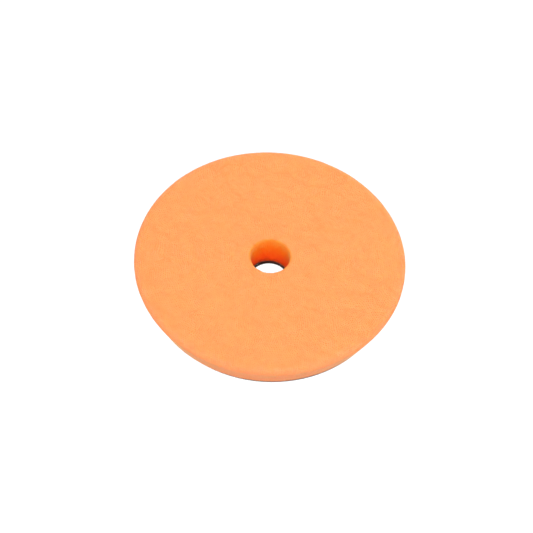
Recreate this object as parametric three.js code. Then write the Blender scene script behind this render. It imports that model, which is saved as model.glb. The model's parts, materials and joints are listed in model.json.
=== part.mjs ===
// Foam polishing pad for a random-orbit car polisher: a tapered disc of open-cell polyurethane
// foam, laminated with hot-melt film to a knitted cloth whose brushed loops grip the hooks of
// the machine's backing plate. A hole is punched through the middle of the whole stack.
//
// Millimetres, +Z up along the spin axis. The origin is the centre of the loop face, which lies
// on z = 0, and the working face of the foam is on top.

import * as THREE from "three";

// ---------------------------------------------------------------- driving dimensions

const faceDiameter = 140; // widest part of the foam, round its rounded upper edge
const footDiameter = 128; // foam where it meets the backing
const foamThickness = 19;
const edgeRadius = 3; // rounding between the working face and the wall

const boreDiameter = 20.5; // centre hole, one punch through every layer
const boreEdgeRadius = 0.75; // rounding of the foam at the mouth of the hole

const backingSetback = 1.25; // the backing is trimmed this far inside the foam's foot
const filmThickness = 0.25;
const clothThickness = 0.5;
const pileHeight = 1.25;

const turnSteps = 96; // flat strips round each turned solid
const edgeSteps = 9; // strips over the rounded upper edge
const boreEdgeSteps = 3;

// ---------------------------------------------------------------- derived sizes

const boreRadius = boreDiameter / 2;
const faceRadius = faceDiameter / 2;
const footRadius = footDiameter / 2;
const backingRadius = footRadius - backingSetback;

const pileTop = pileHeight;
const clothTop = pileTop + clothThickness;
const filmTop = clothTop + filmThickness;
const foamTop = filmTop + foamThickness;

// ---------------------------------------------------------------- materials

function foamMaterial() {
  return new THREE.MeshStandardMaterial({ color: 0xfca868, roughness: 0.95, metalness: 0 });
}

function filmMaterial() {
  return new THREE.MeshStandardMaterial({ color: 0xc8a070, roughness: 0.6, metalness: 0 });
}

function clothMaterial() {
  return new THREE.MeshStandardMaterial({ color: 0x241c1c, roughness: 0.9, metalness: 0 });
}

function pileMaterial() {
  return new THREE.MeshStandardMaterial({ color: 0x1c1718, roughness: 1, metalness: 0 });
}

// ---------------------------------------------------------------- turned solids

// Points of an arc from one angle to another, both ends included.
function arc(centreRadius, centreHeight, radius, fromAngle, toAngle, steps) {
  const points = [];
  for (let step = 0; step <= steps; step += 1) {
    const angle = fromAngle + ((toAngle - fromAngle) * step) / steps;
    points.push(
      new THREE.Vector2(
        centreRadius + radius * Math.cos(angle),
        centreHeight + radius * Math.sin(angle),
      ),
    );
  }
  return points;
}

// A closed profile of (radius, height) points, turned once round the Z axis.
function turned(name, profile, material) {
  const outline = [...profile, profile[0].clone()];
  const geometry = new THREE.LatheGeometry(outline, turnSteps);
  geometry.rotateX(Math.PI / 2);
  const mesh = new THREE.Mesh(geometry, material);
  mesh.name = name;
  return mesh;
}

// A flat ring with square edges.
function ring(name, outerRadius, bottom, top, material) {
  const profile = [
    new THREE.Vector2(boreRadius, bottom),
    new THREE.Vector2(outerRadius, bottom),
    new THREE.Vector2(outerRadius, top),
    new THREE.Vector2(boreRadius, top),
  ];
  return turned(name, profile, material);
}

// ---------------------------------------------------------------- foam disc

// Angle at which a straight wall from the foot runs tangent into the rounded upper edge.
function wallTangentAngle(centreRadius, centreHeight) {
  const across = footRadius - centreRadius;
  const up = filmTop - centreHeight;
  const distance = Math.hypot(across, up);
  return Math.atan2(up, across) + Math.acos(edgeRadius / distance);
}

function foamDisc() {
  const centreRadius = faceRadius - edgeRadius;
  const centreHeight = foamTop - edgeRadius;
  const wallAngle = wallTangentAngle(centreRadius, centreHeight);
  const profile = [
    new THREE.Vector2(boreRadius, filmTop),
    new THREE.Vector2(footRadius, filmTop),
    ...arc(centreRadius, centreHeight, edgeRadius, wallAngle, Math.PI / 2, edgeSteps),
    ...arc(
      boreRadius + boreEdgeRadius,
      foamTop - boreEdgeRadius,
      boreEdgeRadius,
      Math.PI / 2,
      Math.PI,
      boreEdgeSteps,
    ),
  ];
  return turned("foam_disc", profile, foamMaterial());
}

// ---------------------------------------------------------------- loop backing

function adhesiveFilm() {
  return ring("adhesive_film", backingRadius, clothTop, filmTop, filmMaterial());
}

function backingCloth() {
  return ring("backing_cloth", backingRadius, pileTop, clothTop, clothMaterial());
}

function loopPile() {
  return ring("loop_pile", backingRadius, 0, pileTop, pileMaterial());
}

// ---------------------------------------------------------------- assembly

const polishingPad = new THREE.Group();
polishingPad.add(loopPile(), backingCloth(), adhesiveFilm(), foamDisc());

export default polishingPad;
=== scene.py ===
# A foam polishing pad for a random-orbit polisher, built up from the machine side: the loop
# fabric that grips the backing plate, the hot-melt film that bonds it, and the foam disc that
# does the polishing. Metres, +Z along the spin axis, the loop face on z = 0.

import bisect
import json
import math
import random

import bmesh
import bpy
import numpy
from mathutils import Euler, Matrix, Vector, noise

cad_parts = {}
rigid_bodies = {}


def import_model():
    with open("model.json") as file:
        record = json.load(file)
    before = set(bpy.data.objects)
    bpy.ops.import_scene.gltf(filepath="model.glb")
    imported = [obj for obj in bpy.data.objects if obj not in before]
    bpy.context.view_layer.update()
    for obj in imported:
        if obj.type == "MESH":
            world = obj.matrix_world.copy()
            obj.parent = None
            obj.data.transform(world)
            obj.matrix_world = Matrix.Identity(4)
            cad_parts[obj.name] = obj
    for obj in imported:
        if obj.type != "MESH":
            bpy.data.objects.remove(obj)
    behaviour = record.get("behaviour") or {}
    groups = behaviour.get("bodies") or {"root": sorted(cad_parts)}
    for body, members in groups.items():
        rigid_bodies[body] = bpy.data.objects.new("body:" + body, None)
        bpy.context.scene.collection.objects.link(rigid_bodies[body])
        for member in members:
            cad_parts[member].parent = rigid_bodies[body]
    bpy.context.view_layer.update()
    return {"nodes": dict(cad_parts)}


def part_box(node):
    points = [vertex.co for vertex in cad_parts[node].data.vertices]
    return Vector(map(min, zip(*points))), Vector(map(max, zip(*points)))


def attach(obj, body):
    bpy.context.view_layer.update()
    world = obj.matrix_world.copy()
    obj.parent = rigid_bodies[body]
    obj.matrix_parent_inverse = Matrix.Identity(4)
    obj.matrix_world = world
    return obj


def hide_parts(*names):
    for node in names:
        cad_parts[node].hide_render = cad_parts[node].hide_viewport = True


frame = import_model()

# ---------------------------------------------------------------- camera
# A long lens looks down on the working face at a little over half a right angle. It is turned a
# few degrees about its own axis and aimed a touch below and to the left of the face's centre.

foam_low, foam_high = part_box("foam_disc")
face_centre = Vector((0, 0, foam_high.z))
camera_distance = 0.85
camera_elevation = math.radians(54.33)
camera_roll = math.radians(3.78)
camera_lens = 111.7
aim_down = math.radians(0.372)
aim_left = math.radians(0.129)

camera = bpy.data.objects.new("camera", bpy.data.cameras.new("camera"))
camera.data.sensor_width = 36
camera.data.lens = camera_lens
camera_turn = (
    Matrix.Rotation(math.pi / 2 - camera_elevation, 3, "X")
    @ Matrix.Rotation(camera_roll, 3, "Z")
)
camera.location = face_centre + camera_turn @ Vector((0, 0, camera_distance))
camera_turn = camera_turn @ Euler((-aim_down, aim_left, 0)).to_matrix()
camera.rotation_euler = camera_turn.to_euler()
bpy.context.scene.collection.objects.link(camera)
bpy.context.scene.camera = camera

# ---------------------------------------------------------------- floor and light
# The pad hangs high over a broad white floor, in the even light of a white studio. A soft box
# stands high in front of it, and a weaker one low behind it to the right.

floor_drop = 0.6
floor_size = 60.0
floor_white = (0.97, 0.97, 0.97, 1)
floor_roughness = 0.9
studio_white = (1, 1, 1, 1)
studio_light = 0.88
front_size = 0.8
front_place = (0.05, -0.90, 1.20)
front_power = 14.0
back_size = 0.5
back_place = (0.35, 0.40, 0.55)
back_power = 1.6

floor_mesh = bpy.data.meshes.new("floor")
half = floor_size / 2
floor_corners = [(-half, -half), (half, -half), (half, half), (-half, half)]
floor_mesh.from_pydata([(x, y, -floor_drop) for x, y in floor_corners], [], [(0, 1, 2, 3)])
floor = bpy.data.objects.new("floor", floor_mesh)
bpy.context.scene.collection.objects.link(floor)
floor_paint = bpy.data.materials.new("white floor")
floor_paint.use_nodes = True
floor_surface = floor_paint.node_tree.nodes["Principled BSDF"]
floor_surface.inputs["Base Color"].default_value = floor_white
floor_surface.inputs["Roughness"].default_value = floor_roughness
floor.data.materials.append(floor_paint)
# The floor throws no light back up on the pad.
floor.visible_diffuse = False

studio = bpy.data.worlds.new("white studio")
studio.use_nodes = True
studio_air = studio.node_tree.nodes["Background"]
studio_air.inputs["Color"].default_value = studio_white
studio_air.inputs["Strength"].default_value = studio_light
bpy.context.scene.world = studio


def soft_box(name, size, place, power):
    """A round soft box that faces the pad."""
    box = bpy.data.objects.new(name, bpy.data.lights.new(name, "AREA"))
    box.data.shape = "DISK"
    box.data.size = size
    box.data.energy = power
    box.location = place
    box.rotation_euler = (face_centre - box.location).to_track_quat("-Z", "Y").to_euler()
    bpy.context.scene.collection.objects.link(box)


soft_box("front soft box", front_size, front_place, front_power)
soft_box("back soft box", back_size, back_place, back_power)
bpy.context.scene.view_settings.view_transform = "Standard"

# ---------------------------------------------------------------- loop pile
# Brushed nylon loops on the underside, which the hooks of the backing plate catch. Each is a fine
# bundle of filaments standing about a millimetre out of the cloth and leaning any way. They stand
# closest together along the two cut edges.

pile_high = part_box("loop_pile")[1]
bore_radius = min(v.co.xy.length for v in frame["nodes"]["loop_pile"].data.vertices)
backing_radius = pile_high.x
loop_spacing = 0.00145
rim_spacing = 0.0002
loop_yarn = 0.00013
loop_radius = 0.00066
loop_sweep = math.radians(250)
loop_lean = math.radians(24)
loop_points = 6
loop_sides = 3
loop_hang = 0.62
loop_smallest = 0.86
loops_at_most = 2.0e6
ring_rows = 12
ring_spokes = 96
nylon_roughness = 0.6
# Painted bounce light: the nylon's red-brown tint stands in for orange light bounced from the
# foam onto black loops.
nylon_dark = (0.016, 0.006, 0.004)
nylon_light = (0.065, 0.026, 0.016)
nylon_patches = 900.0
nylon_filaments = 9000.0


def ring_mesh(name, inner, outer, rows, spokes, height):
    """A flat ring that faces down, in rows of quads."""
    mesh = bpy.data.meshes.new(name)
    verts = []
    for row in range(rows + 1):
        radius = inner + (outer - inner) * row / rows
        for spoke in range(spokes):
            angle = math.tau * spoke / spokes
            verts.append((radius * math.cos(angle), radius * math.sin(angle), height))
    faces = []
    for row in range(rows):
        for spoke in range(spokes):
            a = row * spokes + spoke
            b = row * spokes + (spoke + 1) % spokes
            faces.append((a, b, b + spokes, a + spokes))
    mesh.from_pydata(verts, [], faces)
    return mesh


def new_object(name, mesh):
    """An object in the scene that holds a mesh."""
    made = bpy.data.objects.new(name, mesh)
    bpy.context.scene.collection.objects.link(made)
    return made


class Tree:
    """A Geometry Nodes tree under construction, with named inputs and short calls."""

    def __init__(self, name, **inputs):
        self.tree = bpy.data.node_groups.new(name, "GeometryNodeTree")
        sockets = self.tree.interface
        sockets.new_socket("Geometry", in_out="INPUT", socket_type="NodeSocketGeometry")
        sockets.new_socket("Geometry", in_out="OUTPUT", socket_type="NodeSocketGeometry")
        self.ids = {}
        for label, kind in inputs.items():
            made = sockets.new_socket(label, in_out="INPUT", socket_type="NodeSocket" + kind)
            self.ids[label] = made.identifier
        self.start = self.tree.nodes.new("NodeGroupInput")
        self.end = self.tree.nodes.new("NodeGroupOutput")

    def size(self, label):
        """The socket of one of the tree's named inputs."""
        return self.start.outputs[label]

    def add(self, kind, settings=None, **inputs):
        """Adds a node. Inputs go by name, with _ for a space, or as i0, i1 and so on."""
        node = self.tree.nodes.new(kind)
        for key, value in (settings or {}).items():
            setattr(node, key, value)
        for key, value in inputs.items():
            at = int(key[1:]) if key[0] == "i" and key[1:].isdigit() else key.replace("_", " ")
            self.feed(node.inputs[at], value)
        return node

    def feed(self, socket, value):
        """Gives a socket a value, or a link from a socket or from a node's first output."""
        if isinstance(value, bpy.types.NodeSocket):
            self.tree.links.new(value, socket)
        elif isinstance(value, bpy.types.Node):
            self.tree.links.new(next(o for o in value.outputs if o.enabled), socket)
        else:
            socket.default_value = value

    def math(self, operation, first, second=0.0):
        return self.add("ShaderNodeMath", {"operation": operation}, i0=first, i1=second)

    def vector(self, operation, first, second=(0, 0, 0)):
        return self.add("ShaderNodeVectorMath", {"operation": operation}, i0=first, i1=second)

    def random(self, low, high, seed):
        """A random number between two numbers, another one for each point or face."""
        return self.add(
            "FunctionNodeRandomValue", {"data_type": "FLOAT"}, i2=low, i3=high, Seed=seed
        )

    def close(self, geometry, material):
        """Ends the tree: instances become real, and everything takes the material."""
        real = self.add("GeometryNodeRealizeInstances", Geometry=geometry)
        done = self.add("GeometryNodeSetMaterial", Geometry=real, Material=material)
        self.tree.links.new(done.outputs[0], self.end.inputs[0])


def run_tree(made, built, **values):
    """Runs a tree on an object once, and leaves its result as the object's plain mesh."""
    modifier = made.modifiers.new(built.tree.name, "NODES")
    modifier.node_group = built.tree
    for label, value in values.items():
        modifier[built.ids[label]] = value
    done = made.evaluated_get(bpy.context.evaluated_depsgraph_get())
    mesh = bpy.data.meshes.new_from_object(done)
    made.modifiers.remove(modifier)
    mesh.name = made.name
    made.data = mesh
    return made


def new_material(name, roughness, **sockets):
    """A node material and its surface shader, with some of the shader's sockets set."""
    material = bpy.data.materials.new(name)
    material.use_nodes = True
    surface = material.node_tree.nodes["Principled BSDF"]
    surface.inputs["Roughness"].default_value = roughness
    for key, value in sockets.items():
        surface.inputs[key.replace("_", " ")].default_value = value
    return material, surface


def shade(material, kind, settings=None, **inputs):
    """Adds a shader node, with its inputs by name."""
    node = material.node_tree.nodes.new(kind)
    for key, value in (settings or {}).items():
        setattr(node, key, value)
    for key, value in inputs.items():
        socket = node.inputs[key.replace("_", " ")]
        if isinstance(value, bpy.types.NodeSocket):
            material.node_tree.links.new(value, socket)
        else:
            socket.default_value = value
    return node


def colour_ramp(material, factor, stops):
    """A ramp from (position, colour) pairs."""
    node = shade(material, "ShaderNodeValToRGB", Fac=factor)
    ramp = node.color_ramp
    while len(ramp.elements) < len(stops):
        ramp.elements.new(0.5)
    for element, (position, colour) in zip(ramp.elements, stops):
        element.position = position
        element.color = (*colour, 1)
    return node.outputs["Color"]


def set_surface(material, surface, colour, height, strength, distance):
    """Links a colour and a bump height to the surface shader."""
    links = material.node_tree.links
    links.new(colour, surface.inputs["Base Color"])
    bump = shade(
        material, "ShaderNodeBump", Strength=strength, Distance=distance, Height=height
    )
    links.new(bump.outputs["Normal"], surface.inputs["Normal"])


loop_nylon, loop_surface = new_material(
    "loop nylon", nylon_roughness, Sheen_Weight=0.04, Specular_IOR_Level=0.15
)
loop_place = shade(loop_nylon, "ShaderNodeTexCoord").outputs["Object"]
loop_shade = shade(loop_nylon, "ShaderNodeTexNoise", Vector=loop_place, Scale=nylon_patches)
loop_strand = shade(
    loop_nylon, "ShaderNodeTexNoise", Vector=loop_place, Scale=nylon_filaments, Detail=3.0
)
loop_colour = colour_ramp(
    loop_nylon, loop_shade.outputs["Fac"], [(0.3, nylon_dark), (0.7, nylon_light)]
)
set_surface(
    loop_nylon,
    loop_surface,
    loop_colour,
    loop_strand.outputs["Fac"],
    strength=0.6,
    distance=0.00003,
)

loops_tree = Tree(
    "loops",
    Spacing="Float",
    Rim_spacing="Float",
    Yarn="Float",
    Radius="Float",
    Sweep="Float",
    Lean="Float",
)
roots = loops_tree.add(
    "GeometryNodeDistributePointsOnFaces",
    {"distribute_method": "POISSON"},
    Mesh=loops_tree.start.outputs["Geometry"],
    Distance_Min=loops_tree.size("Spacing"),
    Density_Max=loops_at_most,
    Seed=4,
)
# An edge on the rim of the ring has one face beside it, and every other edge has two.
faces_beside = loops_tree.add("GeometryNodeInputMeshEdgeNeighbors")
rims = loops_tree.add(
    "GeometryNodeMeshToCurve",
    Mesh=loops_tree.start.outputs["Geometry"],
    Selection=loops_tree.math("LESS_THAN", faces_beside, 1.5),
)
rim_roots = loops_tree.add(
    "GeometryNodeCurveToPoints",
    {"mode": "LENGTH"},
    Curve=rims,
    Length=loops_tree.size("Rim_spacing"),
)
all_roots = loops_tree.add("GeometryNodeJoinGeometry", Geometry=roots.outputs["Points"])
loops_tree.feed(all_roots.inputs["Geometry"], rim_roots.outputs["Points"])
half_sweep = loops_tree.math("MULTIPLY", loops_tree.size("Sweep"), 0.5)
start_angle = loops_tree.math("SUBTRACT", -math.pi / 2, half_sweep)
loop_path = loops_tree.add(
    "GeometryNodeCurveArc",
    Resolution=loop_points,
    Radius=loops_tree.size("Radius"),
    Start_Angle=start_angle,
    Sweep_Angle=loops_tree.size("Sweep"),
)
loop_section = loops_tree.add(
    "GeometryNodeCurvePrimitiveCircle", Resolution=loop_sides, Radius=loops_tree.size("Yarn")
)
loop_tube = loops_tree.add(
    "GeometryNodeCurveToMesh",
    Curve=loop_path,
    Profile_Curve=loop_section.outputs["Curve"],
    Fill_Caps=True,
)
# Each arc is stood up with its open end on top, and hung so that its two ends meet the cloth.
drop = loops_tree.math("MULTIPLY", loops_tree.size("Radius"), -loop_hang)
drop_vector = loops_tree.add("ShaderNodeCombineXYZ", Z=drop)
standing = loops_tree.add(
    "GeometryNodeTransform", Geometry=loop_tube, Rotation=(math.pi / 2, 0, 0)
)
hung = loops_tree.add("GeometryNodeTransform", Geometry=standing, Translation=drop_vector)
less_lean = loops_tree.math("MULTIPLY", loops_tree.size("Lean"), -1.0)
turn = loops_tree.add(
    "ShaderNodeCombineXYZ",
    X=loops_tree.random(less_lean, loops_tree.size("Lean"), seed=1),
    Y=loops_tree.random(less_lean, loops_tree.size("Lean"), seed=2),
    Z=loops_tree.random(0.0, math.tau, seed=3),
)
planted = loops_tree.add(
    "GeometryNodeInstanceOnPoints",
    Points=all_roots,
    Instance=hung,
    Rotation=turn,
    Scale=loops_tree.random(loop_smallest, 1.0, seed=5),
)
loops_smooth = loops_tree.add("GeometryNodeRealizeInstances", Geometry=planted)
loops_tree.close(
    loops_tree.add("GeometryNodeSetShadeSmooth", Geometry=loops_smooth), loop_nylon
)

loop_ground = ring_mesh(
    "loops", bore_radius, backing_radius, ring_rows, ring_spokes, pile_high.z
)
loops = run_tree(
    new_object("loops", loop_ground),
    loops_tree,
    Spacing=loop_spacing,
    Rim_spacing=rim_spacing,
    Yarn=loop_yarn,
    Radius=loop_radius,
    Sweep=loop_sweep,
    Lean=loop_lean,
)
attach(loops, "root")
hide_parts("loop_pile")

# ---------------------------------------------------------------- ground cloth
# Warp-knitted nylon that the loops are brushed out of, die-cut with the hole in the same stroke.
# Its fine ribs run along Y, and its cut edges are slightly furred.

cloth_low, cloth_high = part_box("backing_cloth")
cloth_waver = 0.00006
cloth_rib = 0.0009
cloth_spokes = 240
cloth_rows = 26
wave_turn = 20
knit_roughness = 0.8
knit_dark = (0.012, 0.009, 0.010)
knit_light = (0.038, 0.029, 0.030)
tiny = 1e-6


def cloth_ring():
    """The cut ring of cloth: an underside, an upper side and two furred edges, closed."""
    shape = bmesh.new()
    for height in (cloth_low.z, cloth_high.z):
        part = ring_mesh(
            "part", bore_radius, backing_radius, cloth_rows, cloth_spokes, height
        )
        shape.from_mesh(part)
        bpy.data.meshes.remove(part)
    shape.verts.ensure_lookup_table()
    side = (cloth_rows + 1) * cloth_spokes
    for row in (0, cloth_rows):
        for spoke in range(cloth_spokes):
            a = row * cloth_spokes + spoke
            b = row * cloth_spokes + (spoke + 1) % cloth_spokes
            corners = (a, b, b + side, a + side)
            shape.faces.new([shape.verts[c] for c in corners])
    bmesh.ops.recalc_face_normals(shape, faces=shape.faces)
    waver = random.Random(11)
    for vert in shape.verts:
        radius = vert.co.xy.length
        if radius > backing_radius - tiny or radius < bore_radius + tiny:
            grown = 1 + waver.uniform(-1, 1) * cloth_waver / radius
            vert.co.x *= grown
            vert.co.y *= grown
    mesh = bpy.data.meshes.new("ground_cloth")
    shape.to_mesh(mesh)
    shape.free()
    return mesh


knit, knit_surface = new_material(
    "knitted nylon", knit_roughness, Sheen_Weight=0.08, Specular_IOR_Level=0.2
)
knit_place = shade(knit, "ShaderNodeTexCoord").outputs["Object"]
knit_ribs = shade(
    knit,
    "ShaderNodeTexWave",
    {"wave_type": "BANDS", "bands_direction": "X"},
    Vector=knit_place,
    Scale=math.tau / (wave_turn * cloth_rib),
    Distortion=1.2,
    Detail=2.0,
    Detail_Scale=4.0,
)
knit_colour = colour_ramp(
    knit, knit_ribs.outputs["Fac"], [(0.1, knit_dark), (0.9, knit_light)]
)
set_surface(
    knit, knit_surface, knit_colour, knit_ribs.outputs["Fac"], strength=0.8, distance=0.0001
)

cloth = new_object("ground_cloth", cloth_ring())
cloth.data.materials.append(knit)
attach(cloth, "root")
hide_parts("backing_cloth")

# ---------------------------------------------------------------- adhesive film
# Hot-melt film pressed between cloth and foam. Only its cut edge shows, patchy in colour between
# the dark of the cloth and the orange of the foam.

melt_roughness = 0.45
melt_dark = (0.06, 0.015, 0.004)
melt_orange = (0.30, 0.060, 0.012)
melt_patches = 1100.0

melt, melt_surface = new_material("hot-melt film", melt_roughness, Specular_IOR_Level=0.2)
melt_place = shade(melt, "ShaderNodeTexCoord").outputs["Object"]
melt_soak = shade(
    melt, "ShaderNodeTexNoise", Vector=melt_place, Scale=melt_patches, Detail=3.0
)
melt_colour = colour_ramp(
    melt, melt_soak.outputs["Fac"], [(0.35, melt_dark), (0.65, melt_orange)]
)
set_surface(
    melt, melt_surface, melt_colour, melt_soak.outputs["Fac"], strength=0.5, distance=0.0001
)
film_slots = frame["nodes"]["adhesive_film"].material_slots
film_slots[0].material = melt

# ---------------------------------------------------------------- foam disc
# Open-cell polyurethane foam, skived flat and ground to a tapered wall with a rounded upper edge,
# then punched through the middle. Cutting opens every cell at the surface into a small pit. Light
# and
# shade are painted into its colour: a paler painted highlight round its edge, painted shade on
# the wall towards its foot and on the pit floors, and a much deeper colour inside the hole that
# is painted shade and light bounced between the hole's walls.

foam_node = frame["nodes"]["foam_disc"]
cell_pitch = 0.001
cell_jitter = 0.34
row_drift = 0.0016
row_drift_length = 0.0055
row_drift_ease = 0.008
row_drift_seed = 7
glued_radii = [0.0125, 0.019, 0.028, 0.039, 0.050, 0.058, 0.0612]
glued_pitch = cell_pitch * 3
cells_round_at_least = 64
pit_shallow = 0.00022
pit_deep = 0.00050
pit_floor_low = 0.42
pit_floor_high = 0.66
foam_waver = 0.00014
foam_waver_scale = 60.0
edge_radius = 0.003
edge_steps = 16
bore_edge_radius = 0.00075
mouth_steps = 6
uneven_height = 0.006
# Painted highlight: a band round the rounded edge is painted paler, standing in for sheen at
# grazing light.
edge_highlight_from = 1.3 * edge_radius
edge_highlight_to = 0.3 * edge_radius
# Where the painted shade of the hole begins, measured out from the hole.
bore_shade_to = 0.0009
bore_shade_from = 0.0005
foam_roughness = 0.9
foam_patches = 420.0
foam_pores_scale = 2300.0
face_deep = (0.96, 0.318, 0.107)
face_light = (0.97, 0.350, 0.123)
# The edge's paler colours are a painted highlight.
edge_highlight_deep = (0.97, 0.335, 0.130)
edge_highlight_light = (0.98, 0.364, 0.147)
# Painted shade: the wall darkens towards its foot, and its pinker tone is painted grazing sheen.
wall_shade_colours = [
    (0.0, (0.93, 0.262, 0.104)),
    (0.3, (0.96, 0.305, 0.126)),
    (0.8, (0.97, 0.338, 0.135)),
]
# Painted shade and bounce light in the hole: deeper, more saturated orange downwards, darkest at
# the foot.
bore_shade_colours = [
    (0.0, (0.55, 0.045, 0.002)),
    (0.13, (0.86, 0.080, 0.002)),
    (0.3, (0.97, 0.125, 0.002)),
    (0.6, (0.98, 0.196, 0.003)),
    (0.85, (0.98, 0.300, 0.028)),
    (1.0, (0.98, 0.330, 0.058)),
]
# Painted shade for the pit floors.
pit_shade_tint = (1.0, 0.88, 0.84, 1.0)
map_core = 0.008
map_reach = 0.49
map_corner = 0.06
map_corner_reach = 0.05
foot_radius = max(v.co.xy.length for v in foam_node.data.vertices if v.co.z < foam_low.z + tiny)


def arc_points(centre, radius, start, end, steps):
    """Points along an arc of the profile, as (radius, height)."""
    angles = [start + (end - start) * step / steps for step in range(steps + 1)]
    return [
        Vector((centre.x + radius * math.cos(a), centre.y + radius * math.sin(a))) for a in angles
    ]


def foam_profile():
    """The cut surface in section: foot, wall, rounded edge, face, hole mouth and hole."""
    edge_centre = Vector((foam_high.x - edge_radius, foam_high.z - edge_radius))
    foot = Vector((foot_radius, foam_low.z))
    reach = foot - edge_centre
    wall_angle = math.atan2(reach.y, reach.x) + math.acos(edge_radius / reach.length)
    mouth = Vector((bore_radius + bore_edge_radius, foam_high.z - bore_edge_radius))
    return [
        Vector((backing_radius, foam_low.z)),
        foot,
        *arc_points(edge_centre, edge_radius, wall_angle, math.pi / 2, edge_steps),
        *arc_points(mouth, bore_edge_radius, math.pi / 2, math.pi, mouth_steps),
        Vector((bore_radius, foam_low.z)),
    ]


def distances_along(profile):
    """How far along the profile each of its points is."""
    passed = [0.0]
    for start, end in zip(profile, profile[1:]):
        passed.append(passed[-1] + (end - start).length)
    return passed


def point_at(profile, passed, wanted):
    """The point at a distance along the profile."""
    piece = min(max(bisect.bisect_right(passed, wanted) - 1, 0), len(profile) - 2)
    share = (wanted - passed[piece]) / (passed[piece + 1] - passed[piece])
    return profile[piece].lerp(profile[piece + 1], min(max(share, 0.0), 1.0))


def foam_net():
    """A closed net of even triangles over the disc. Its points become the foam's cells.

    Rows of points go round the disc: close ones from the edge of the backing out and over the cut
    surface to the foot of the hole, then a few wide ones back under the glued side.
    """
    draw = random.Random(7)
    noise.seed_set(row_drift_seed)
    profile = foam_profile()
    passed = distances_along(profile)
    total = passed[-1]
    row_count = round(total / (cell_pitch * math.sqrt(3) / 2))
    cut_rows = [total * index / row_count for index in range(row_count + 1)]
    rows = []
    verts = []
    for index in range(len(cut_rows) + len(glued_radii)):
        if index < len(cut_rows):
            along = cut_rows[index]
            point = point_at(profile, passed, along)
            pitch = cell_pitch
            drift = row_drift * min(1.0, along / row_drift_ease, (total - along) / row_drift_ease)
        else:
            point = Vector((glued_radii[index - len(cut_rows)], foam_low.z))
            pitch = glued_pitch
            drift = 0.0
        count = max(cells_round_at_least, round(math.tau * point.x / pitch))
        phase = draw.uniform(0, 1)
        rows.append((len(verts), count, phase))
        for step in range(count):
            angle = math.tau * (step + phase) / count
            here = Vector((point.x * math.cos(angle), point.x * math.sin(angle), point.y))
            if drift > 0:
                swing = noise.noise_vector(here / row_drift_length)
                moved = point_at(profile, passed, along + drift * swing.x)
                angle += drift * swing.y / point.x
                here = Vector((moved.x * math.cos(angle), moved.x * math.sin(angle), moved.y))
            verts.append(here)
    # Each row is laced to the next one, and the last row to the first.
    faces = []
    for (start, count, phase), (next_start, next_count, next_phase) in zip(
        rows, rows[1:] + rows[:1]
    ):
        a = 0
        b = round(phase / count * next_count - next_phase)
        last_b = b + next_count
        while a < count or b < last_b:
            next_a_turn = (a + 1 + phase) / count
            next_b_turn = (b + 1 + next_phase) / next_count
            here = start + a % count
            there = next_start + b % next_count
            if b >= last_b or (a < count and next_a_turn < next_b_turn):
                a += 1
                faces.append((here, start + a % count, there))
            else:
                b += 1
                faces.append((here, next_start + b % next_count, there))
    mesh = bpy.data.meshes.new("foam_body")
    mesh.from_pydata(verts, [], faces)
    open_cells = mesh.attributes.new("open", "FLOAT", "POINT")
    first_glued = rows[len(cut_rows)][0]
    values = [1.0 if index < first_glued else 0.0 for index in range(len(verts))]
    open_cells.data.foreach_set("value", values)
    shape = bmesh.new()
    shape.from_mesh(mesh)
    bmesh.ops.recalc_face_normals(shape, faces=shape.faces)
    shape.to_mesh(mesh)
    shape.free()
    return mesh


foam, foam_surface = new_material(
    "orange foam",
    foam_roughness,
    Sheen_Weight=0.15,
    Sheen_Roughness=0.3,
    Sheen_Tint=(1.0, 0.95, 0.9, 1.0),
    Specular_IOR_Level=0.2,
    Subsurface_Weight=1.0,
    Subsurface_Radius=(1.0, 0.35, 0.15),
    Subsurface_Scale=0.0003,
)
foam_place = shade(foam, "ShaderNodeTexCoord").outputs["Object"]
foam_mottle = shade(
    foam, "ShaderNodeTexNoise", Vector=foam_place, Scale=foam_patches, Detail=3.0
)
foam_pores = shade(
    foam,
    "ShaderNodeTexVoronoi",
    {"feature": "DISTANCE_TO_EDGE"},
    Vector=foam_place,
    Scale=foam_pores_scale,
)
mottle = foam_mottle.outputs["Fac"]
foam_parts = shade(foam, "ShaderNodeSeparateXYZ", Vector=foam_place)
flat_place = shade(foam, "ShaderNodeVectorMath", {"operation": "MULTIPLY"}, Vector=foam_place)
flat_place.inputs[1].default_value = (1, 1, 0)
from_axis = shade(
    foam, "ShaderNodeVectorMath", {"operation": "LENGTH"}, Vector=flat_place.outputs[0]
)


def share_between(value, low, high):
    """How far a value has gone from low to high, as 0 to 1."""
    node = shade(foam, "ShaderNodeMapRange", Value=value, From_Min=low, From_Max=high)
    return node.outputs["Result"]


def blend(factor, first, second):
    """A colour between two colours."""
    node = shade(foam, "ShaderNodeMix", {"data_type": "RGBA"})
    for index, value in ((0, factor), (6, first), (7, second)):
        foam.node_tree.links.new(value, node.inputs[index])
    return node.outputs[2]


face_colour = colour_ramp(foam, mottle, [(0.3, face_deep), (0.7, face_light)])
# The paler edge colour is a painted highlight.
edge_highlight_colour = colour_ramp(foam, mottle, [(0.3, edge_highlight_deep), (0.7, edge_highlight_light)])
# Height up the wall and up the hole, made uneven by the mottle.
height = foam_parts.outputs["Z"]
uneven = shade(foam, "ShaderNodeMath", {"operation": "MULTIPLY_ADD"})
foam.node_tree.links.new(mottle, uneven.inputs[0])
uneven.inputs[1].default_value = uneven_height
foam.node_tree.links.new(height, uneven.inputs[2])
up_wall = share_between(
    uneven.outputs[0], foam_low.z + uneven_height / 2, foam_high.z + uneven_height / 2
)
# Painted shade on the wall, darker towards its foot.
wall_shade_colour = colour_ramp(foam, up_wall, wall_shade_colours)
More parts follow.
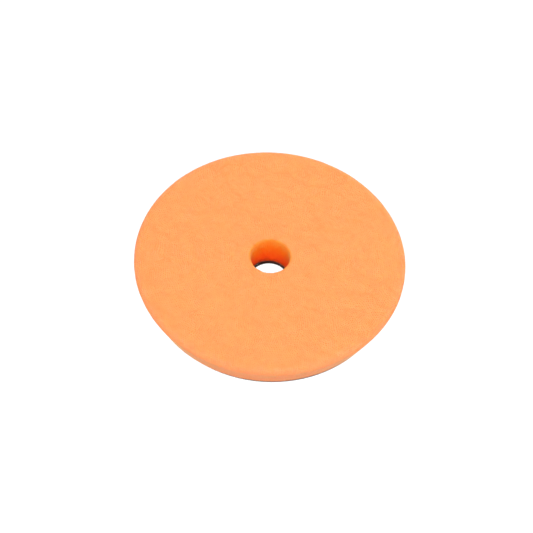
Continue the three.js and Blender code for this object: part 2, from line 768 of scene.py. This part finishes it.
# Painted shade and bounce light inside the hole.
bore_shade_colour = colour_ramp(foam, up_wall, bore_shade_colours)
radius = from_axis.outputs["Value"]
in_edge_highlight = share_between(radius, foam_high.x - edge_highlight_from, foam_high.x - edge_highlight_to)
on_face = share_between(height, foam_high.z - edge_radius, foam_high.z - edge_radius / 3)
in_bore = share_between(radius, bore_radius + bore_shade_to, bore_radius + bore_shade_from)
top_colour = blend(in_edge_highlight, face_colour, edge_highlight_colour)
cut_colour = blend(in_bore, blend(on_face, wall_shade_colour, top_colour), bore_shade_colour)
# Painted shade: the floor of each pit is a little deeper in colour than its rim, as shade in a
# recess.
pit = shade(foam, "ShaderNodeAttribute", {"attribute_name": "pit"})
pit_shaded = shade(foam, "ShaderNodeMix", {"data_type": "RGBA", "blend_type": "MULTIPLY"})
foam.node_tree.links.new(pit.outputs["Fac"], pit_shaded.inputs[0])
foam.node_tree.links.new(cut_colour, pit_shaded.inputs[6])
pit_shaded.inputs[7].default_value = pit_shade_tint
set_surface(
    foam,
    foam_surface,
    pit_shaded.outputs[2],
    foam_pores.outputs["Distance"],
    strength=0.35,
    distance=0.00012,
)

cells_tree = Tree(
    "foam cells",
    Jitter="Float",
    Shallow="Float",
    Deep="Float",
    Floor_low="Float",
    Floor_high="Float",
    Waver="Float",
    Waver_scale="Float",
)
net_normal = cells_tree.add("GeometryNodeInputNormal")
is_open = cells_tree.add(
    "GeometryNodeInputNamedAttribute", {"data_type": "FLOAT"}, Name="open"
).outputs[0]
anywhere = cells_tree.add(
    "FunctionNodeRandomValue",
    {"data_type": "FLOAT_VECTOR"},
    i0=(-1, -1, -1),
    i1=(1, 1, 1),
    Seed=8,
)
outward_part = cells_tree.vector("DOT_PRODUCT", anywhere, net_normal).outputs["Value"]
outward = cells_tree.add(
    "ShaderNodeVectorMath", {"operation": "SCALE"}, Vector=net_normal, Scale=outward_part
)
sideways = cells_tree.vector("SUBTRACT", anywhere, outward)
jitter = cells_tree.math("MULTIPLY", cells_tree.size("Jitter"), is_open)
shift = cells_tree.add(
    "ShaderNodeVectorMath", {"operation": "SCALE"}, Vector=sideways, Scale=jitter
)
jittered = cells_tree.add(
    "GeometryNodeSetPosition", Geometry=cells_tree.start.outputs["Geometry"], Offset=shift
)
# Every point of the net becomes a cell, and every triangle a corner where cells meet.
cells = cells_tree.add("GeometryNodeDualMesh", Mesh=jittered)
open_cell = cells_tree.math("GREATER_THAN", is_open, 0.5)
depth = cells_tree.random(cells_tree.size("Shallow"), cells_tree.size("Deep"), seed=9)
pits = cells_tree.add(
    "GeometryNodeExtrudeMesh",
    {"mode": "FACES"},
    Mesh=cells,
    Selection=open_cell,
    Offset_Scale=cells_tree.math("MULTIPLY", depth, -1.0),
    Individual=True,
)
floors = cells_tree.add(
    "GeometryNodeScaleElements",
    Geometry=pits.outputs["Mesh"],
    Selection=pits.outputs["Top"],
    Scale=cells_tree.random(
        cells_tree.size("Floor_low"), cells_tree.size("Floor_high"), seed=10
    ),
)
marked = cells_tree.add(
    "GeometryNodeStoreNamedAttribute",
    {"data_type": "FLOAT", "domain": "POINT"},
    Geometry=floors,
    Name="pit",
    Value=pits.outputs["Top"],
)
# The whole cut surface swells and sinks a little, but not where it meets the glued side.
waver_noise = cells_tree.add("ShaderNodeTexNoise", Scale=cells_tree.size("Waver_scale"))
centred = cells_tree.math("SUBTRACT", waver_noise.outputs[0], 0.5)
waver_size = cells_tree.math("MULTIPLY", centred, cells_tree.size("Waver"))
all_open = cells_tree.math("GREATER_THAN", is_open, 0.99)
waver_open = cells_tree.math("MULTIPLY", waver_size, all_open)
rise = cells_tree.add(
    "ShaderNodeVectorMath", {"operation": "SCALE"}, Vector=net_normal, Scale=waver_open
)
wavered = cells_tree.add("GeometryNodeSetPosition", Geometry=marked, Offset=rise)
cells_tree.close(cells_tree.add("GeometryNodeSetShadeSmooth", Geometry=wavered), foam)


def open_flat(mesh):
    """A map that opens the cut surface out round the hole. The glued side goes in a corner."""
    places = numpy.empty(len(mesh.vertices) * 3)
    mesh.vertices.foreach_get("co", places)
    places = places.reshape(-1, 3)
    radius = numpy.hypot(places[:, 0], places[:, 1])
    around = places[:, :2] / radius[:, None]
    section = numpy.stack([radius, places[:, 2]], axis=1)
    outward = foam_profile()[::-1]
    passed = map_core
    nearest = numpy.full(len(radius), numpy.inf)
    spread = numpy.zeros(len(radius))
    for start, end in zip(outward, outward[1:]):
        run = end - start
        share = numpy.clip((section - start) @ numpy.array(run) / run.length_squared, 0, 1)
        on_run = numpy.array(start) + share[:, None] * numpy.array(run)
        gap = numpy.linalg.norm(section - on_run, axis=1)
        closer = gap < nearest
        nearest[closer] = gap[closer]
        spread[closer] = passed + share[closer] * run.length
        passed += run.length
    flat = 0.5 + map_reach * around * (spread / passed)[:, None]
    corner = map_corner + map_corner_reach * places[:, :2] / backing_radius
    corners = numpy.empty(len(mesh.loops), dtype=int)
    mesh.loops.foreach_get("vertex_index", corners)
    sides = numpy.empty(len(mesh.polygons), dtype=int)
    mesh.polygons.foreach_get("loop_total", sides)
    starts = numpy.cumsum(sides) - sides
    low = places[corners, 2] < foam_low.z + tiny
    inside = radius[corners] < backing_radius + tiny
    glued = numpy.logical_and.reduceat(low & inside, starts)
    glued = numpy.repeat(glued, sides)[:, None]
    layer = mesh.uv_layers.new(name="OFBake")
    layer.uv.foreach_set("vector", numpy.where(glued, corner[corners], flat[corners]).ravel())


foam_body = run_tree(
    new_object("foam_body", foam_net()),
    cells_tree,
    Jitter=cell_pitch * cell_jitter,
    Shallow=pit_shallow,
    Deep=pit_deep,
    Floor_low=pit_floor_low,
    Floor_high=pit_floor_high,
    Waver=foam_waver * 2,
    Waver_scale=foam_waver_scale,
)
open_flat(foam_body.data)
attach(foam_body, "root")
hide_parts("foam_disc")
